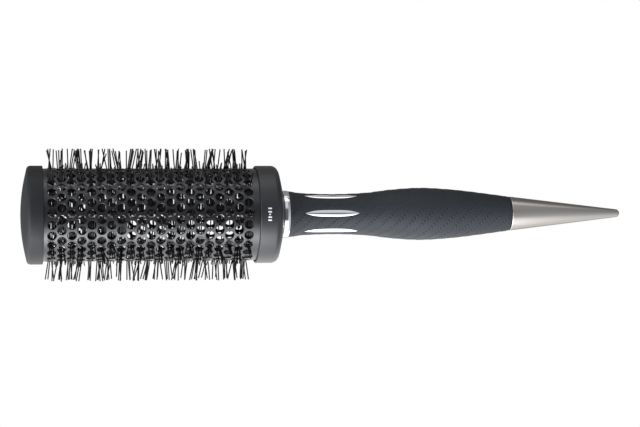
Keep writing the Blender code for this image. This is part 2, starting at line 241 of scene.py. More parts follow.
def makeHandledGroup():
    # faint smears from handling: a roughness that wanders between two values
    group, given, out = newGroup(
        "handledGloss",
        [("Vector", "NodeSocketVector", None), ("Size", "NodeSocketFloat", 60.0),
         ("Smooth", "NodeSocketFloat", 0.3), ("Rough", "NodeSocketFloat", 0.4)],
        [("Roughness", "NodeSocketFloat")])
    noise = addNode(group, "ShaderNodeTexNoise", {"Detail": 5, "Distortion": 0.6})
    spread = addNode(group, "ShaderNodeMapRange", {"From Min": 0.3, "From Max": 0.7})
    link = group.links.new
    link(given.outputs["Vector"], noise.inputs["Vector"])
    link(given.outputs["Size"], noise.inputs["Scale"])
    link(noise.outputs["Fac"], spread.inputs["Value"])
    link(given.outputs["Smooth"], spread.inputs["To Min"])
    link(given.outputs["Rough"], spread.inputs["To Max"])
    link(spread.outputs["Result"], out.inputs["Roughness"])
    return group


def makeToneGroup():
    # batch-to-batch colour drift plus sparse pale specks of dust
    group, given, out = newGroup(
        "toneAndDust",
        [("Vector", "NodeSocketVector", None), ("Base", "NodeSocketColor", (0.5, 0.5, 0.5, 1)),
         ("Drift", "NodeSocketColor", (0.5, 0.5, 0.5, 1)), ("Dust", "NodeSocketFloat", 0.0)],
        [("Color", "NodeSocketColor")])
    noise = addNode(group, "ShaderNodeTexNoise", {"Scale": 90, "Detail": 3})
    mixTone = addNode(group, "ShaderNodeMix", data_type="RGBA")
    specks = addNode(group, "ShaderNodeTexNoise", {"Scale": 2600, "Detail": 2})
    pick = addNode(group, "ShaderNodeMapRange", {"From Min": 0.68, "From Max": 0.76})
    amount = addNode(group, "ShaderNodeMath", operation="MULTIPLY")
    mixDust = addNode(group, "ShaderNodeMix", {"B": (0.42, 0.41, 0.39, 1)}, data_type="RGBA")
    link = group.links.new
    link(given.outputs["Vector"], noise.inputs["Vector"])
    link(given.outputs["Vector"], specks.inputs["Vector"])
    link(noise.outputs["Fac"], mixTone.inputs["Factor"])
    link(given.outputs["Base"], mixTone.inputs["A"])
    link(given.outputs["Drift"], mixTone.inputs["B"])
    link(specks.outputs["Fac"], pick.inputs["Value"])
    link(pick.outputs["Result"], amount.inputs[0])
    link(given.outputs["Dust"], amount.inputs[1])
    link(amount.outputs[0], mixDust.inputs["Factor"])
    link(mixTone.outputs["Result"], mixDust.inputs["A"])
    link(mixDust.outputs["Result"], out.inputs["Color"])
    return group


grainGroup = makeGrainGroup()
handledGroup = makeHandledGroup()
toneGroup = makeToneGroup()


def placeGroup(material, group, **values):
    inputs = {label.capitalize(): value for label, value in values.items()}
    return addNode(material.node_tree, "ShaderNodeGroup", inputs, node_tree=group)


def makeFinish(name, base, drift, smooth, rough, metallic=0.0, grain=4000.0, relief=0.02, dust=0.0,
               stretch=(1, 1, 1)):
    # the common build: tone into Base Color, handling into Roughness, grain into a Bump; relief is in mm
    material = bpy.data.materials.new(name)
    material.use_nodes = True
    tree = material.node_tree
    link = tree.links.new
    shader = tree.nodes["Principled BSDF"]
    shader.inputs["Metallic"].default_value = metallic
    where = addNode(tree, "ShaderNodeTexCoord")
    mapping = addNode(tree, "ShaderNodeMapping", {"Scale": stretch})
    link(where.outputs["Object"], mapping.inputs["Vector"])
    tone = placeGroup(material, toneGroup, base=(*base, 1), drift=(*drift, 1), dust=dust)
    gloss = placeGroup(material, handledGroup, smooth=smooth, rough=rough)
    texture = placeGroup(material, grainGroup, size=grain)
    for node in (tone, gloss, texture):
        link(mapping.outputs["Vector"], node.inputs["Vector"])
    link(tone.outputs["Color"], shader.inputs["Base Color"])
    link(gloss.outputs["Roughness"], shader.inputs["Roughness"])
    bump = addNode(tree, "ShaderNodeBump", {"Strength": 1.0, "Distance": relief * mm})
    link(texture.outputs["Height"], bump.inputs["Height"])
    link(bump.outputs["Normal"], shader.inputs["Normal"])
    return material


charcoal, paleCharcoal = (0.0125, 0.0135, 0.0155), (0.0165, 0.0175, 0.0195)
capPlastic = makeFinish("satinCharcoalPlastic", charcoal, paleCharcoal, 0.50, 0.58,
                        grain=5200, relief=0.012, dust=0.12)
collarPlastic = makeFinish("silkCharcoalPlastic", charcoal, paleCharcoal, 0.38, 0.44,
                           grain=5200, relief=0.010, dust=0.12)
barrelCoat = makeFinish("anthraciteCoating", (0.067, 0.067, 0.069), (0.082, 0.082, 0.084), 0.27, 0.34,
                        metallic=0.85, grain=6000, relief=0.006, dust=0.10)
nylon = makeFinish("blackNylon", (0.004, 0.004, 0.005), (0.006, 0.006, 0.007), 0.30, 0.38,
                   grain=3000, relief=0.006)
wireSteel = makeFinish("twistedWireSteel", (0.80, 0.79, 0.77), (0.70, 0.69, 0.68), 0.28, 0.36,
                       metallic=1.0, grain=3000, relief=0.004)
chrome = makeFinish("polishedChrome", (0.90, 0.90, 0.90), (0.86, 0.86, 0.87), 0.05, 0.10,
                    metallic=1.0, grain=1500, relief=0.001)
rubber = makeFinish("gripRubber", (0.0215, 0.0250, 0.0302), (0.0267, 0.0307, 0.0364), 0.54, 0.64,
                    grain=5200, relief=0.02, dust=0.15)
nickel = makeFinish("satinNickel", (0.585, 0.555, 0.515), (0.53, 0.50, 0.465), 0.24, 0.34,
                    metallic=1.0, grain=2600, relief=0.004, stretch=(0.04, 1, 1))
hubPlastic = makeFinish("blackHubPlastic", (0.008, 0.008, 0.009), (0.011, 0.011, 0.012), 0.5, 0.6,
                        grain=2500, relief=0.02)
blackSteel = makeFinish("blackenedSteel", (0.030, 0.031, 0.034), (0.045, 0.045, 0.048), 0.35, 0.5,
                        metallic=0.9, grain=1800, relief=0.006)
plainSteel = makeFinish("plainSteel", (0.40, 0.40, 0.41), (0.34, 0.34, 0.35), 0.28, 0.4,
                        metallic=1.0, grain=1800, relief=0.004)
printInk = makeFinish("whitePrintInk", (0.78, 0.79, 0.80), (0.70, 0.71, 0.72), 0.45, 0.55,
                      grain=5000, relief=0.004)
for finish, sheen in ((capPlastic, 0.36), (collarPlastic, 0.68), (rubber, 0.36)):
    finish.node_tree.nodes["Principled BSDF"].inputs["Specular IOR Level"].default_value = sheen
print("finishes made")


# tip cap: a shallow dome, a rolled edge and a skirt over the barrel's end
capShape = dict(length=9.4 * mm, radius=21.2 * mm, bore=20.4 * mm, dome=2.5 * mm, edge=1.8 * mm,
                seat=4.4 * mm, pocket=7.5 * mm, ceiling=2.6 * mm, lip=0.35 * mm, steps=128)


def makeTipCap():
    c = capShape
    domeEdge = c["radius"] - c["edge"]
    domeRadius = (domeEdge ** 2 + c["dome"] ** 2) / (2 * c["dome"])
    spread = math.degrees(math.asin(domeEdge / domeRadius))
    outline = [(c["ceiling"], 0), (c["ceiling"], c["pocket"]), (c["seat"], c["pocket"]),
               (c["seat"], c["bore"]), (c["length"], c["bore"])]
    outline += arc(c["length"] - c["lip"], c["radius"] - c["lip"], c["lip"], 90, 0, 4)
    outline += arc(c["dome"] + c["edge"], domeEdge, c["edge"], 0, spread - 90, 10)
    outline += arc(domeRadius, 0, domeRadius, spread - 90, -90, 16)[1:-1]
    outline.append((0, 0))
    cap = spinOutline("domed_tip_cap", outline, c["steps"], 50)
    return finishPiece(cap, capPlastic, "cap_plastic", "tip_cap")


# barrel: a thin tube with a hexagonal pattern of round holes, each with a small chamfer
barrelShape = dict(radius=20.0 * mm, wall=0.8 * mm, start=4.7 * mm, end=106.0 * mm,
                   firstColumn=12.9 * mm, pitch=4.17 * mm, columns=21, holesRound=26,
                   hole=3.83 * mm, chamfer=0.16 * mm, cellEdges=4, seam=0.03 * mm,
                   zigzag=math.pi / 52, drift=math.radians(-0.7))


def makeHoleCell():
    # one hole and its rectangle of wall, laid flat: X along the brush, Y round it, Z outwards
    b = barrelShape
    height = 2 * math.pi * b["radius"] / b["holesRound"]
    sides = 4 * b["cellEdges"]

    def onRim(v):
        alongEnd, alongSide = abs(v.co.x) - b["pitch"] / 2, abs(v.co.y) - height / 2
        return abs(alongEnd) < weld or abs(alongSide) < weld

    bpy.ops.object.select_all(action="DESELECT")
    bpy.ops.mesh.primitive_grid_add(x_subdivisions=b["cellEdges"], y_subdivisions=b["cellEdges"], size=1)
    cell = bpy.context.object
    cell.scale = (b["pitch"], height, 1)
    bakePlace(cell)
    bpy.ops.object.mode_set(mode="EDIT")
    bpy.ops.mesh.select_all(action="SELECT")
    bpy.ops.mesh.delete(type="ONLY_FACE")
    bpy.ops.mesh.select_all(action="DESELECT")
    shape = bmesh.from_edit_mesh(cell.data)
    bmesh.ops.delete(shape, geom=[v for v in shape.verts if not onRim(v)], context="VERTS")
    bmesh.update_edit_mesh(cell.data)
    holeRadius = b["hole"] / 2
    rings = [(holeRadius + b["chamfer"], 0), (holeRadius, -b["chamfer"]), (holeRadius, -b["wall"])]
    bpy.ops.mesh.select_all(action="SELECT")
    for ringRadius, depth in rings:
        bpy.ops.mesh.extrude_edges_move()
        shape = bmesh.from_edit_mesh(cell.data)
        ring = [v for v in shape.verts if v.select]
        ring.sort(key=lambda v: math.atan2(v.co.y, v.co.x))
        first = min(range(sides), key=lambda i: abs(math.atan2(ring[i].co.y, ring[i].co.x)))
        for i, v in enumerate(ring):
            angle = 2 * math.pi * (i - first) / sides
            v.co = (ringRadius * math.cos(angle), ringRadius * math.sin(angle), depth)
        bmesh.update_edit_mesh(cell.data)
    bpy.ops.mesh.extrude_edges_move()  # the last ring opens out again under the rectangle's rim
    shape = bmesh.from_edit_mesh(cell.data)
    rim = [v for v in shape.verts if not v.select and onRim(v)]
    rim.sort(key=lambda v: math.atan2(v.co.y, v.co.x) % (2 * math.pi))
    for v in [v for v in shape.verts if v.select]:
        above = rim[round(math.atan2(v.co.y, v.co.x) / (2 * math.pi / sides)) % sides]
        v.co = (above.co.x, above.co.y, -b["wall"])
    bmesh.update_edit_mesh(cell.data)
    bpy.ops.object.mode_set(mode="OBJECT")
    return cell


def wrapBarrel(piece):
    # rolls the flat sheet into the tube
    b = barrelShape
    for v in piece.data.vertices:
        turn = v.co.y / b["radius"] + b["drift"]
        v.co = around(tipEnd + v.co.x, b["radius"] + v.co.z, turn)


def makeBarrel():
    b = barrelShape
    height = 2 * math.pi * b["radius"] / b["holesRound"]
    cell = makeHoleCell()
    addArray(cell, b["holesRound"], (0, height, 0))
    stagger = b["zigzag"] * b["radius"]
    sheets = []
    for parity, side in ((0, -1), (1, 1)):
        column = duplicate(cell)
        column.location = (b["firstColumn"] + parity * b["pitch"], side * stagger, 0)
        bakePlace(column)
        addArray(column, (b["columns"] + 1 - parity) // 2, (2 * b["pitch"], 0, 0))
        sheets.append(column)
    bpy.data.objects.remove(cell)
    fullTurn = b["holesRound"] * height
    holesStart = b["firstColumn"] - b["pitch"] / 2
    holesEnd = holesStart + b["columns"] * b["pitch"]
    for low, high in ((b["start"], holesStart), (holesEnd, b["end"])):
        for depth in (0, -b["wall"]):
            bpy.ops.object.select_all(action="DESELECT")
            bpy.ops.mesh.primitive_grid_add(x_subdivisions=b["cellEdges"],
                                            y_subdivisions=b["cellEdges"] * b["holesRound"], size=1)
            strip = bpy.context.object
            strip.scale = (high - low, fullTurn, 1)
            strip.location = ((low + high) / 2, fullTurn / 2 - stagger - height / 2, depth)
            bakePlace(strip)
            sheets.append(strip)
    tube = joinPieces(sheets, "perforated_barrel")
    wrapBarrel(tube)
    onlySelect(tube)
    bpy.ops.object.mode_set(mode="EDIT")
    bpy.ops.mesh.select_all(action="SELECT")
    bpy.ops.mesh.remove_doubles(threshold=b["seam"])
    for station in (b["start"], b["end"]):
        selectRim(tube, station, b["radius"])
        extrudeRing(station, b["radius"], station, b["radius"] - b["wall"])
    bpy.ops.object.mode_set(mode="OBJECT")
    tidyShell(tube, 30)
    return finishPiece(tube, barrelCoat, "barrel_metal", "barrel_tube")


# bristle rows: nylon filaments held by a pair of twisted steel strands behind the wall
wireShape = dict(fromAxis=17.85 * mm, strand=0.62 * mm, twist=0.63 * mm, pitch=6.4 * mm,
                 start=5.3 * mm, end=105.4 * mm, sides=8, steps=14, drift=math.radians(-1.2))
filamentShape = dict(radius=0.285 * mm, sides=5, rings=4, counts=(4, 4, 5, 6, 6), knee=0.28,
                     reach=28.95 * mm, usual=27.6 * mm, shortest=26.3 * mm, shortShare=0.1,
                     foot=1.15 * mm, footJitter=0.18 * mm, rootShare=0.6, rootRise=0.3 * mm,
                     lean=0.95 * mm, tuftLean=0.75 * mm, most=3.1 * mm, leanAtWall=0.12,
                     round=0.6 * mm, tuftRound=0.5 * mm, mostRound=1.7 * mm, roundAtWall=0.3,
                     edgeGap=0.12 * mm)
tangleShape = dict(depth=18.74 * mm, depthSpread=0.6 * mm, rootDrop=0.7 * mm, perSide=8,
                   clear=1.4 * mm, clearSpread=0.4 * mm, far=7.5 * mm, farSpread=0.7 * mm,
                   jitter=0.20 * mm, slant=0.25 * mm, knee=0.3,
                   openTurns=((0.1, 0.7), (2.4, 3.05)), openColumns=(8, 19), allOpenFrom=17,
                   openShare=0.08, oddShare=0.6, sparse=0.8, sparseShare=0.25)


def makeStrand():
    # one strand: a small ring screwed along X
    w = wireShape
    turns = int((w["end"] - w["start"]) / w["pitch"])
    bpy.ops.object.select_all(action="DESELECT")
    bpy.ops.mesh.primitive_circle_add(vertices=w["sides"], radius=w["strand"], fill_type="NOTHING",
                                      location=(tipEnd + w["start"], 0, w["twist"]),
                                      rotation=(0, math.pi / 2, 0))
    strand = bpy.context.object
    bakePlace(strand)
    bpy.ops.object.modifier_add(type="SCREW")
    screw = strand.modifiers[-1]
    screw.axis = "X"
    screw.angle = 2 * math.pi
    screw.screw_offset = w["pitch"]
    screw.iterations = turns
    screw.steps = w["steps"]
    screw.render_steps = w["steps"]
    bpy.ops.object.modifier_apply(modifier=screw.name)
    bpy.ops.object.mode_set(mode="EDIT")
    bpy.ops.mesh.select_all(action="SELECT")
    bpy.ops.mesh.fill_holes(sides=w["sides"])
    bpy.ops.object.mode_set(mode="OBJECT")
    tidyShell(strand, 60)
    return strand


def makeWires():
    w = wireShape
    strand = makeStrand()
    for row in range(rowCount):
        pair = []
        for half in (0, 1):
            twin = duplicate(strand)
            twin.data.transform(Matrix.Rotation(half * math.pi, 4, "X"))
            pair.append(twin)
        wire = joinPieces(pair, f"twisted_wire_{row + 1:02d}")
        turn = row * rowTurn + w["drift"]
        middle = around(0, w["fromAxis"], turn)
        wire.data.transform(Matrix.Translation(middle) @ Matrix.Rotation(turn, 4, "X"))
        finishPiece(wire, wireSteel, "nylon_bristle", f"bristle_row_{row + 1:02d}")
    bpy.data.objects.remove(strand)


def makeFilament():
    # a unit-long filament along Z, cut square at the tip
    f = filamentShape
    bpy.ops.object.select_all(action="DESELECT")
    bpy.ops.mesh.primitive_cylinder_add(vertices=f["sides"], radius=f["radius"], depth=1,
                                        location=(0, 0, 0.5))
    filament = bpy.context.object
    bakePlace(filament)
    bpy.ops.object.mode_set(mode="EDIT")
    for i in range(1, f["rings"]):
        bpy.ops.mesh.select_all(action="SELECT")
        bpy.ops.mesh.bisect(plane_co=(0, 0, i / f["rings"]), plane_no=(0, 0, 1))
    bpy.ops.object.mode_set(mode="OBJECT")
    bpy.ops.object.shade_smooth_by_angle(angle=math.radians(75))
    return filament


def bentCopy(shape, master, points):
    # adds a copy of the master bent along a smooth curve through root, wall and tip
    root, wall, tip = points
    knee = filamentShape["knee"]
    copied = bmesh.new()
    copied.from_mesh(master.data)
    for v in copied.verts:
        t = v.co.z
        if t < knee:
            middle = root.lerp(wall, t / knee)
            heading = (wall - root).normalized().lerp((tip - wall).normalized(), 0.5 * t / knee)
        else:
            middle = wall.lerp(tip, (t - knee) / (1 - knee))
            heading = (tip - wall).normalized()
        side = heading.cross(Vector((1, 0, 0))).normalized()
        other = heading.cross(side).normalized()
        v.co = middle + side * v.co.x + other * v.co.y
    spare = bpy.data.meshes.new("spare")
    copied.to_mesh(spare)
    copied.free()
    shape.from_mesh(spare)
    bpy.data.meshes.remove(spare)


def tipReach(reach, turn):
    # filaments stop just inside the brush's own box, so none is cut off by what it lies on
    gap = filamentShape["edgeGap"]
    low, high = cadBounds
    across = (high[1] - gap) / max(abs(math.sin(turn)), 0.01)
    upward = math.cos(turn)
    room = high[2] - axisHeight if upward > 0 else axisHeight - low[2]
    return min(reach, across, (room - gap) / max(abs(upward), 0.01))


def addTangle(shape, master, x, turn, column):
    # the tufts' own backs: filaments lying under the wall on both sides of the wire
    t, pitch = tangleShape, barrelShape["pitch"]
    low, high = t["openColumns"]
    sparse = t["sparse"] if random.random() < t["sparseShare"] else 1
    for i in range(2 * t["perSide"]):
        side = 1 if i % 2 else -1
        beside = (turn + side * t["far"] / 2 / t["depth"]) % (2 * math.pi)
        share = sparse
        if low <= column <= high and any(start < beside < end for start, end in t["openTurns"]):
            clearColumn = column % 2 == 0 or column >= t["allOpenFrom"]
            share = t["openShare"] if clearColumn else t["oddShare"]
        skip = random.random() > share
        along = ((i // 2 + 0.5) / t["perSide"] - 0.5) * pitch + random.gauss(0, t["jitter"])
        slant = random.gauss(0, t["slant"])
        near = side * (t["clear"] + random.uniform(0, t["clearSpread"])) / t["depth"]
        far = side * (t["far"] - random.uniform(0, t["farSpread"])) / t["depth"]
        depth = t["depth"] - random.uniform(0, t["depthSpread"])
        if skip:
            continue
        root = around(x + along, depth - t["rootDrop"], turn + near)
        kneeTurn = turn + near * (1 - t["knee"]) + far * t["knee"]
        knee = around(x + along + slant * t["knee"], depth, kneeTurn)
        end = around(x + along + slant, depth, turn + far)
        bentCopy(shape, master, (root, knee, end))


def nearestHole(column, turn):
    # the turn of the hole in this column that lies closest to a wire
    b = barrelShape
    side = -1 if column % 2 == 0 else 1
    first = side * b["zigzag"] + b["drift"]
    holeAngle = 2 * math.pi / b["holesRound"]
    return first + round((turn - first) / holeAngle) * holeAngle


def makeTuft(shape, master, x, rowAngle, holeTurn):
    # the filaments that stand up through one hole
    w, f, wall = wireShape, filamentShape, barrelShape["radius"]
    count = random.choice(f["counts"])
    tuftLean = random.gauss(0, f["tuftLean"])
    roundLean = random.gauss(0, f["tuftRound"])
    for i in range(count):
        foot = ((i + 0.5) / count * 2 - 1) * f["foot"] + random.gauss(0, f["footJitter"])
        along = foot + tuftLean + random.gauss(0, f["lean"])
        along = max(-f["most"], min(f["most"], along))
        aside = roundLean + random.gauss(0, f["round"])
        aside = max(-f["mostRound"], min(f["mostRound"], aside))
        shortest = f["shortest"] if random.random() < f["shortShare"] else f["usual"]
        tipTurn = holeTurn + aside / wall
        reach = tipReach(random.uniform(shortest, f["reach"]), tipTurn)
        root = around(x + foot * f["rootShare"], w["fromAxis"] + f["rootRise"], rowAngle)
        atWall = x + foot + (along - foot) * f["leanAtWall"]
        edge = around(atWall, wall, holeTurn + aside * f["roundAtWall"] / wall)
        tip = around(x + along, reach, tipTurn)
        bentCopy(shape, master, (root, edge, tip))


def makeBristles():
    b = barrelShape
    master = makeFilament()
    for row in range(rowCount):
        shape = bmesh.new()
        rowAngle = row * rowTurn + wireShape["drift"]
        for column in range(b["columns"]):
            x = tipEnd + b["firstColumn"] + column * b["pitch"]
            makeTuft(shape, master, x, rowAngle, nearestHole(column, rowAngle))
            addTangle(shape, master, x, rowAngle, column)
        mesh = bpy.data.meshes.new(f"bristles_{row + 1:02d}")
        shape.to_mesh(mesh)
        shape.free()
        bristles = bpy.data.objects.new(mesh.name, mesh)
        bpy.context.scene.collection.objects.link(bristles)
        finishPiece(bristles, nylon, "nylon_bristle", f"bristle_row_{row + 1:02d}")
    bpy.data.objects.remove(master)


# collar: a rim over the barrel's end, a rounded shoulder and a domed back
collarShape = dict(start=101.0 * mm, floor=106.3 * mm, shoulder=107.9 * mm, back=112.75 * mm,
                   radius=21.2 * mm, bore=20.4 * mm, socket=6.8 * mm, bend=3.0 * mm, bendTurn=62,
                   backRadius=10.35 * mm, backSteps=7, swell=0.06 * mm, lip=0.5 * mm, steps=128)


def makeCollar():
    c = collarShape
    shoulder = arc(c["shoulder"], c["radius"] - c["bend"], c["bend"], 0, c["bendTurn"], 12)
    endStation, endRadius = shoulder[-1]
    backArc = []
    for i in range(1, c["backSteps"]):
        t = i / c["backSteps"]
        swell = c["swell"] * math.sin(math.pi * t)
        backArc.append((endStation + (c["back"] - endStation) * t + swell,
                        endRadius + (c["backRadius"] - endRadius) * t))
    outline = [(c["start"], c["bore"]), (c["floor"], c["bore"]), (c["floor"], c["socket"]),
               (c["back"], c["socket"]), (c["back"], c["backRadius"])]
    outline += reversed(backArc)
    outline += reversed(shoulder)
    outline += arc(c["start"] + c["lip"], c["radius"] - c["lip"], c["lip"], 0, -90, 6)
    outline.append((c["start"], c["bore"]))
    collar = spinOutline("rounded_collar", outline, c["steps"], 50)
    return finishPiece(collar, collarPlastic, "cap_plastic", "collar")


# printed size marks on the collar: a short row of plain bars and a dot
markShape = dict(station=104.95 * mm, long=1.6 * mm, wide=0.62 * mm, thick=0.06 * mm,
                 stand=0.02 * mm, corner=0.2 * mm,
                 turns=(-9.6, -5.7, -2.6, 0.5, 4.0), lengths=(1.0, 1.0, 0.40, 1.0, 1.0))


def makeMarks():
    m = markShape
    marks = []
    top = collarShape["radius"] + m["stand"]
    for turn, share in zip(m["turns"], m["lengths"]):
        bpy.ops.object.select_all(action="DESELECT")
        bpy.ops.mesh.primitive_cube_add(size=1, location=(0, 0, top - m["thick"] / 2))
        mark = bpy.context.object
        mark.scale = (m["long"] * share, m["wide"], m["thick"])
        bakePlace(mark)
        bpy.ops.object.mode_set(mode="EDIT")
        shape = bmesh.from_edit_mesh(mark.data)
        for edge in shape.edges:
            edge.select_set(abs(edge.verts[0].co.z - edge.verts[1].co.z) > m["thick"] / 2)
        bmesh.update_edit_mesh(mark.data)
        bpy.ops.mesh.bevel(offset=m["corner"], segments=3)
        bpy.ops.object.mode_set(mode="OBJECT")
        swing(mark, m["station"], math.radians(turn))
        marks.append(mark)
    joined = joinPieces(marks, "collar_size_marks")
    tidyShell(joined, 40)
    return finishPiece(joined, printInk, "cap_plastic", "collar")


# neck ring: a polished band with rounded edges
ringShape = dict(start=112.80 * mm, length=2.84 * mm, radius=10.35 * mm, bore=6.8 * mm, edge=0.42 * mm,
                 crown=0.12 * mm, steps=128)


def makeNeckRing():
    r = ringShape
    end = r["start"] + r["length"]
    flat = r["radius"] - r["crown"] - r["edge"]
    outline = [(r["start"], r["bore"]), (end, r["bore"])]
    outline += arc(end - r["edge"], flat, r["edge"], 90, 20, 6)
    outline += [(r["start"] + r["length"] / 2, r["radius"])]
    outline += arc(r["start"] + r["edge"], flat, r["edge"], -20, -90, 6)
    outline.append((r["start"], r["bore"]))
    ring = spinOutline("chrome_neck_ring", outline, r["steps"], 50)
    return finishPiece(ring, chrome, "bright_ring", "neck_ring")


# handle core: the bright sleeve that shows in the grip's windows
coreShape = dict(start=106.6 * mm, step=115.9 * mm, taperStart=196.0 * mm, taperEnd=208.0 * mm,
                 end=213.5 * mm, radius=7.6 * mm, spigot=6.5 * mm, tailRadius=5.2 * mm,
                 bore=2.3 * mm, steps=96)


def makeCore():
    c = coreShape
    outline = [(c["start"], c["bore"]), (c["end"], c["bore"]), (c["end"], c["tailRadius"]),
               (c["taperEnd"], c["tailRadius"]), (c["taperStart"], c["radius"]), (c["step"], c["radius"]),
               (c["step"], c["spigot"]), (c["start"], c["spigot"]), (c["start"], c["bore"])]
    core = spinOutline("bright_handle_core", outline, c["steps"])
    return finishPiece(core, chrome, "bright_core", "handle_core")


# window lenses: the core's raised beads, each filling one of the grip's windows
lensShape = dict(length=24.3 * mm, width=2.80 * mm, foot=7.2 * mm, sink=0.25 * mm, crown=0.45 * mm, points=64,
                 profile=((1, 0), (0.76, 0.30), (0.50, 0.58), (0.24, 0.84), (0.07, 1.0)))


def makeLens():
    # one polished lens: a disc drawn out to a pointed oval, raised to the rubber's surface and domed
    s = lensShape
    bpy.ops.object.select_all(action="DESELECT")
    bpy.ops.mesh.primitive_circle_add(vertices=s["points"], radius=1, fill_type="NGON", location=(0, 0, 0))
    lens = bpy.context.object
    for v in lens.data.vertices:
        v.co = lensPoint(v.co.x, v.co.y, s["length"], s["width"], s["foot"])
    bpy.ops.object.mode_set(mode="EDIT")
    bpy.ops.mesh.select_all(action="SELECT")
    for share, height in s["profile"]:
        bpy.ops.mesh.extrude_region_move()
        shape = bmesh.from_edit_mesh(lens.data)
        for v in shape.verts:
            if v.select:
                halfWidth = lensHalf(2 * v.co.x / s["length"], s["width"])
                fullness = halfWidth / (s["width"] / 2)  # the crown dies away towards the points
                v.co.y = math.copysign(halfWidth * share, v.co.y)
                v.co.z = gripRadius(windowMiddle + v.co.x) - s["sink"] + s["crown"] * height * fullness
        bmesh.update_edit_mesh(lens.data)
    bpy.ops.object.mode_set(mode="OBJECT")
    return lens


def makeLenses():
    master = makeLens()
    lenses = []
    for turn in windowTurns:
        lens = duplicate(master)
        swing(lens, windowMiddle, turn)
        lenses.append(lens)
    bpy.data.objects.remove(master)
    joined = joinPieces(lenses, "window_lenses")
    tidyShell(joined, 45)
    return finishPiece(joined, chrome, "bright_core", "handle_core")


# grip: a contoured rubber sleeve, embossed with stepped diagonals, with six lens-shaped windows
gripShape = dict(start=115.7 * mm, end=214.9 * mm, bore=7.9 * mm, tailBore=5.5 * mm,
                 sheet=60 * mm, cells=90, rows=55, cycle=5, groove=0.13 * mm, relief=0.17 * mm,
                 stand=0.05 * mm, endFade=1.2 * mm, windowFade=0.35, seam=0.01 * mm,
                 windows=6, windowStart=121.9 * mm, windowLength=24.5 * mm, windowWidth=2.95 * mm,
                 windowBlunt=3.4, windowTurn=math.radians(-5.25),
                 cutDepth=6 * mm, cutRadius=9.4 * mm, cutPoints=72, sliver=0.02 * mm)
gripOutline = [(115.7, 10.15), (121.5, 9.25), (136.5, 8.80), (150.5, 9.40), (161.5, 10.72),
               (174.8, 11.52), (188.5, 10.80), (199.5, 9.60), (214.9, 7.60)]  # station and radius, mm
windowMiddle = gripShape["windowStart"] + gripShape["windowLength"] / 2
windowTurns = [gripShape["windowTurn"] + window * 2 * math.pi / gripShape["windows"]
               for window in range(gripShape["windows"])]


def gripRadius(station):
    # a smooth curve through gripOutline
    last = len(gripOutline) - 1

    def slope(i):
        before, after = gripOutline[max(i - 1, 0)], gripOutline[min(i + 1, last)]
        return (after[1] - before[1]) / (after[0] - before[0])

    s = station / mm
    i = max(0, min(last - 1, sum(1 for point in gripOutline[1:] if point[0] < s)))
    (s0, r0), (s1, r1) = gripOutline[i], gripOutline[i + 1]
    t = (s - s0) / (s1 - s0)
    value = (2 * t ** 3 - 3 * t ** 2 + 1) * r0 + (3 * t ** 2 - 2 * t ** 3) * r1
    value += (s1 - s0) * ((t ** 3 - 2 * t ** 2 + t) * slope(i) + (t ** 3 - t ** 2) * slope(i + 1))
    return value * mm


def lensHalf(along, width):
    # half the width of a blunt pointed oval at a place from -1 to 1 along it
    return width / 2 * max(0, 1 - abs(along) ** gripShape["windowBlunt"])


def lensPoint(along, side, length, width, height):
    # places a point of a unit circle on the oval's outline
    return Vector((along * length / 2, math.copysign(lensHalf(along, width), side), height))


def windowDistance(station, turn):
    # how far a place on the grip is outside its nearest window: 0 inside, 1 a window's width away
    g = gripShape
    along = abs(station - windowMiddle) / (g["windowLength"] / 2)
    sector = 2 * math.pi / g["windows"]
    offset = (turn - g["windowTurn"] + sector / 2) % sector - sector / 2
    across = abs(offset) * gripRadius(station)
    halfWidth = lensHalf(along, g["windowWidth"])
    beyond = max(0, along - 1) * g["windowLength"] / 2
    return math.hypot(max(0, across - halfWidth), beyond) / g["windowWidth"]


def embossHeight(i, j, t):
    # height of one cell of the pattern: it ramps along each row and steps up once a cycle
    cycle = gripShape["cycle"]
    return 1 - ((i + j) % cycle + t) / cycle


def makeGripSkin():
    g = gripShape
    length, size = g["end"] - g["start"], g["sheet"]  # the flat sheet before it is rolled up
    bpy.ops.object.select_all(action="DESELECT")
    bpy.ops.mesh.primitive_grid_add(x_subdivisions=g["cells"], y_subdivisions=g["rows"], size=1)
    skin = bpy.context.object
    skin.scale = (length, size, 1)
    skin.location = (length / 2, size / 2, 0)
    bakePlace(skin)
    bpy.ops.object.mode_set(mode="EDIT")
    bpy.ops.mesh.select_all(action="SELECT")
    bpy.ops.mesh.inset(use_individual=True, thickness=g["groove"], use_boundary=True)
    bpy.ops.object.mode_set(mode="OBJECT")
    cellLength, cellWidth = length / g["cells"], size / g["rows"]
    for v in skin.data.vertices:
        i, t = divmod(v.co.x / cellLength, 1)
        j, u = divmod(v.co.y / cellWidth, 1)
        if min(t, 1 - t) < 0.01 and min(u, 1 - u) < 0.01:  # a corner is the mean of the cells round it
            i, j = round(v.co.x / cellLength), round(v.co.y / cellWidth)
            cells = [(i + di, j + dj, 1 if di else 0) for di in (-1, 0) for dj in (-1, 0)]
            height = sum(embossHeight(*cell) for cell in cells) / 4
        else:
            height = embossHeight(int(i), int(j), t)
        station = g["start"] + v.co.x
        turn = 2 * math.pi * v.co.y / size
        clearOfEnds = min(1, min(v.co.x, length - v.co.x) / g["endFade"])
        shown = min(1, windowDistance(station, turn) / g["windowFade"]) * clearOfEnds
        radius = gripRadius(station) + g["stand"] * clearOfEnds - g["relief"] * (1 - shown * height)
        v.co = around(tipEnd + station, radius, turn)
    return skin


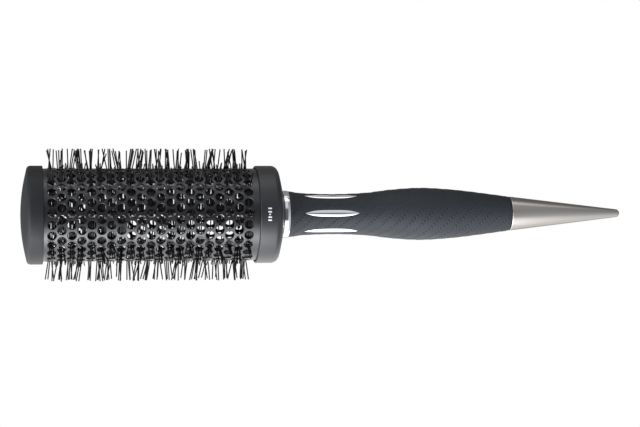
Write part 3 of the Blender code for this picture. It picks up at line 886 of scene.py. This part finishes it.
def closeGrip(skin):
    # turns both ends in and runs the bore through
    g, core = gripShape, coreShape
    onlySelect(skin)
    bpy.ops.object.mode_set(mode="EDIT")
    bpy.ops.mesh.select_all(action="SELECT")
    bpy.ops.mesh.remove_doubles(threshold=g["seam"])
    for station, bore in ((g["start"], g["bore"]), (g["end"], g["tailBore"])):
        selectRim(skin, station)
        extrudeRing(station, gripRadius(station) - g["relief"], station, bore)
    selectRim(skin, g["start"])
    extrudeRing(g["start"], g["bore"], core["taperStart"], g["bore"])
    extrudeRing(core["taperStart"], g["bore"], core["taperEnd"], g["tailBore"])
    extrudeRing(core["taperEnd"], g["tailBore"], g["end"], g["tailBore"])
    bpy.ops.object.mode_set(mode="OBJECT")


def cutWindows(skin):
    g = gripShape
    cutters = []
    for turn in windowTurns:
        bpy.ops.object.select_all(action="DESELECT")
        bpy.ops.mesh.primitive_cylinder_add(vertices=g["cutPoints"], radius=1, depth=g["cutDepth"],
                                            location=(0, 0, g["cutRadius"]))
        cutter = bpy.context.object
        bakePlace(cutter)
        for v in cutter.data.vertices:
            v.co = lensPoint(v.co.x, v.co.y, g["windowLength"], g["windowWidth"], v.co.z)
        swing(cutter, windowMiddle, turn)
        cutters.append(cutter)
    cutter = joinPieces(cutters, "window_cutter")
    tidyShell(cutter, 30)
    onlySelect(skin)
    bpy.ops.object.modifier_add(type="BOOLEAN")
    cut = skin.modifiers[-1]
    cut.operation = "DIFFERENCE"
    cut.object = cutter
    cut.solver = "EXACT"
    bpy.ops.object.modifier_apply(modifier=cut.name)
    bpy.data.objects.remove(cutter)
    bpy.ops.object.mode_set(mode="EDIT")  # the cut leaves slivers and many-sided faces
    bpy.ops.mesh.select_all(action="SELECT")
    bpy.ops.mesh.remove_doubles(threshold=g["sliver"])
    bpy.ops.mesh.select_all(action="DESELECT")
    bpy.ops.mesh.select_face_by_sides(number=4, type="GREATER")
    bpy.ops.mesh.quads_convert_to_tris(quad_method="BEAUTY", ngon_method="BEAUTY")
    bpy.ops.object.mode_set(mode="OBJECT")


def makeGrip():
    skin = makeGripSkin()
    skin.name = "embossed_rubber_grip"
    closeGrip(skin)
    tidyShell(skin, 40)
    cutWindows(skin)
    onlySelect(skin)
    bpy.ops.object.shade_smooth_by_angle(angle=math.radians(28))
    return finishPiece(skin, rubber, "grip_rubber", "grip_sleeve")


# tail: a satin metal cone with a rounded point
tailShape = dict(start=215.2 * mm, end=266.3 * mm, radius=7.55 * mm, tip=1.8 * mm,
                 bore=2.3 * mm, boreEnd=229.3 * mm, edge=0.3 * mm, steps=128)


def makeTail():
    t = tailShape
    centre = t["end"] - t["tip"]
    lean = math.degrees(math.atan((t["radius"] - t["tip"]) / (centre - t["start"])))
    outline = [(t["boreEnd"], 0), (t["boreEnd"], t["bore"]), (t["start"], t["bore"])]
    outline += arc(t["start"] + t["edge"], t["radius"] - t["edge"], t["edge"], -90, lean, 6)
    outline += arc(centre, 0, t["tip"], lean, 90, 12)[:-1]
    outline.append((t["end"], 0))
    tail = spinOutline("satin_tail_cone", outline, t["steps"], 50)
    return finishPiece(tail, nickel, "tail_metal", "tail_cone")


# the plain inner parts keep their own shapes and get finishes
innerFinishes = {
    "tip_hub": (hubPlastic, "hub_plastic"), "rear_hub": (hubPlastic, "hub_plastic"),
    "tie_rod": (blackSteel, "steel"), "tip_nut": (plainSteel, "steel"),
    "tip_washer": (plainSteel, "steel"), "tail_stud": (plainSteel, "steel"),
}


def dressInnerParts():
    for name, (material, slot) in innerFinishes.items():
        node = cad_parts[name]
        node.data.materials.clear()
        node.data.materials.append(material)


# stage: a glowing pale floor, a light tent with a dim roof, softboxes and the camera
stageShape = dict(floor=8.0, nearGlow=2.2, nearStart=-0.55, nearEnd=-0.30, apronGlow=0.9,
                  tailGlow=0.95, tailBack=0.16, tailStart=0.070, tailEnd=0.100,
                  farGlow=0.26, fadeStart=-0.055, fadeEnd=-0.010,
                  distantGlow=1.0, distantStart=0.08, distantEnd=0.25,
                  roof=0.13, roofStart=0.765, roofEnd=0.91,
                  frontWall=3.6, lowFront=2.7, rearWall=1.25, rearTop=0.68,
                  bandStart=0.05, bandEnd=0.26, sideStart=-0.3, sideEnd=0.3,
                  endFront=0.72, endBack=0.26, endStart=0.19, endFull=0.37,
                  endFadeStart=-0.70, endFadeEnd=1.0, tint=(0.955, 0.975, 1.03, 1))
cameraShape = dict(lens=112.5, sensor=36, distance=0.877, yaw=math.radians(9.5),
                   turn=math.radians(-2.75), tilt=math.radians(0.19),
                   beyondMiddle=-3.15 * mm, above=0.29 * mm, nearest=0.05, farthest=20)
lampShapes = [
    dict(name="frontSoftbox", place=(-0.25, -0.66, 0.50), size=(0.8, 0.30), power=3),
    dict(name="rearSoftbox", place=(0.0, 0.85, 0.20), size=(1.0, 0.25), power=0.6),
]


def blendBetween(tree, factor, low, high):
    mix = addNode(tree, "ShaderNodeMix")
    for socket, value in (("Factor", factor), ("A", low), ("B", high)):
        if isinstance(value, (int, float)):
            mix.inputs[socket].default_value = value
        else:
            tree.links.new(value, mix.inputs[socket])
    return mix.outputs["Result"]


def fadeAcross(tree, source, start, end):
    fade = addNode(tree, "ShaderNodeMapRange", {"From Min": start, "From Max": end},
                   interpolation_type="SMOOTHSTEP")
    tree.links.new(source, fade.inputs["Value"])
    return fade.outputs["Result"]


def makeFloor():
    # a glowing table: white to the eye, but what gloss picks up from it is bright in front and dim behind
    s = stageShape
    bpy.ops.object.select_all(action="DESELECT")
    bpy.ops.mesh.primitive_plane_add(size=s["floor"], location=(0, 0, 0))
    floor = bpy.context.object
    floor.name = "studio_floor"
    material = bpy.data.materials.new("paleFloor")
    material.use_nodes = True
    tree = material.node_tree
    tree.nodes.remove(tree.nodes["Principled BSDF"])
    shader = addNode(tree, "ShaderNodeEmission")
    tree.links.new(shader.outputs["Emission"], tree.nodes["Material Output"].inputs["Surface"])
    where = addNode(tree, "ShaderNodeTexCoord")
    axes = addNode(tree, "ShaderNodeSeparateXYZ")
    tree.links.new(where.outputs["Object"], axes.inputs["Vector"])
    close = fadeAcross(tree, axes.outputs["Y"], s["nearStart"], s["nearEnd"])
    besideTail = fadeAcross(tree, axes.outputs["X"], s["tailStart"], s["tailEnd"])
    near = blendBetween(tree, besideTail, s["nearGlow"], s["tailGlow"])
    front = blendBetween(tree, close, s["apronGlow"], near)
    distant = fadeAcross(tree, axes.outputs["Y"], s["distantStart"], s["distantEnd"])
    openBack = blendBetween(tree, distant, s["farGlow"], s["distantGlow"])
    back = blendBetween(tree, besideTail, openBack, s["tailBack"])
    behind = fadeAcross(tree, axes.outputs["Y"], s["fadeStart"], s["fadeEnd"])
    glow = blendBetween(tree, behind, front, back)
    ray = addNode(tree, "ShaderNodeLightPath")
    seen = blendBetween(tree, ray.outputs["Is Camera Ray"], glow, 1.0)
    tree.links.new(seen, shader.inputs["Strength"])
    floor.data.materials.append(material)


def makeTent():
    # the world: a dim roof above the brush, a bright wall in front, a dimmer one behind and one past the tail
    s = stageShape
    world = bpy.data.worlds.new("lightTent")
    bpy.context.scene.world = world
    world.use_nodes = True
    tree = world.node_tree
    air = tree.nodes["Background"]
    where = addNode(tree, "ShaderNodeTexCoord")
    axes = addNode(tree, "ShaderNodeSeparateXYZ")
    tree.links.new(where.outputs["Generated"], axes.inputs["Vector"])
    high = fadeAcross(tree, axes.outputs["Z"], s["bandStart"], s["bandEnd"])
    front = blendBetween(tree, high, s["lowFront"], s["frontWall"])
    back = blendBetween(tree, high, s["rearWall"], s["rearTop"])
    behind = fadeAcross(tree, axes.outputs["Y"], s["sideStart"], s["sideEnd"])
    wall = blendBetween(tree, behind, front, back)
    overhead = fadeAcross(tree, axes.outputs["Z"], s["roofStart"], s["roofEnd"])
    tent = blendBetween(tree, overhead, wall, s["roof"])
    beyond = fadeAcross(tree, axes.outputs["X"], s["endStart"], s["endFull"])
    towardsBack = fadeAcross(tree, axes.outputs["Y"], s["endFadeStart"], s["endFadeEnd"])
    endWall = blendBetween(tree, towardsBack, s["endFront"], s["endBack"])
    room = blendBetween(tree, beyond, tent, endWall)
    ray = addNode(tree, "ShaderNodeLightPath")
    seen = blendBetween(tree, ray.outputs["Is Camera Ray"], room, 1.0)
    tree.links.new(seen, air.inputs["Strength"])
    air.inputs["Color"].default_value = s["tint"]


def makeLights():
    for lamp in lampShapes:
        light = bpy.data.lights.new(lamp["name"], "AREA")
        light.shape = "RECTANGLE"
        light.size, light.size_y = lamp["size"]
        light.energy = lamp["power"]
        holder = bpy.data.objects.new(lamp["name"], light)
        bpy.context.scene.collection.objects.link(holder)
        holder.location = lamp["place"]
        aim = Vector((0, 0, axisHeight)) - Vector(lamp["place"])
        holder.rotation_euler = aim.to_track_quat("-Z", "Y").to_euler()


def makeCamera():
    c = cameraShape
    middle = (cadBounds[0][0] + cadBounds[1][0]) / 2
    back = Vector((-math.sin(c["yaw"]), -math.cos(c["yaw"]) * math.sin(c["turn"]),
                   math.cos(c["yaw"]) * math.cos(c["turn"])))
    right = (Vector((1, 0, 0)) - back * back.x).normalized()
    up = back.cross(right)
    level = right * math.cos(c["tilt"]) - up * math.sin(c["tilt"])
    plumb = back.cross(level)
    target = Vector((middle + c["beyondMiddle"], 0, axisHeight)) + up * c["above"]
    data = bpy.data.cameras.new("productCamera")
    data.lens = c["lens"]
    data.sensor_width = c["sensor"]
    data.clip_start = c["nearest"]
    data.clip_end = c["farthest"]
    camera = bpy.data.objects.new("productCamera", data)
    bpy.context.scene.collection.objects.link(camera)
    turned = Matrix((level, plumb, back)).transposed().to_4x4()
    camera.matrix_world = Matrix.Translation(target + back * c["distance"]) @ turned
    bpy.context.scene.camera = camera


makeCamera()
makeFloor()
makeTent()
makeLights()
bpy.context.scene.view_settings.view_transform = "Standard"
print("stage and camera set")
makeTipCap()
print("tip cap done")
makeBarrel()
print("barrel done")
makeWires()
makeBristles()
print("bristle rows done")
makeCollar()
makeMarks()
makeNeckRing()
makeCore()
makeLenses()
print("collar, ring and core done")
makeGrip()
makeTail()
print("grip and tail done")
dressInnerParts()
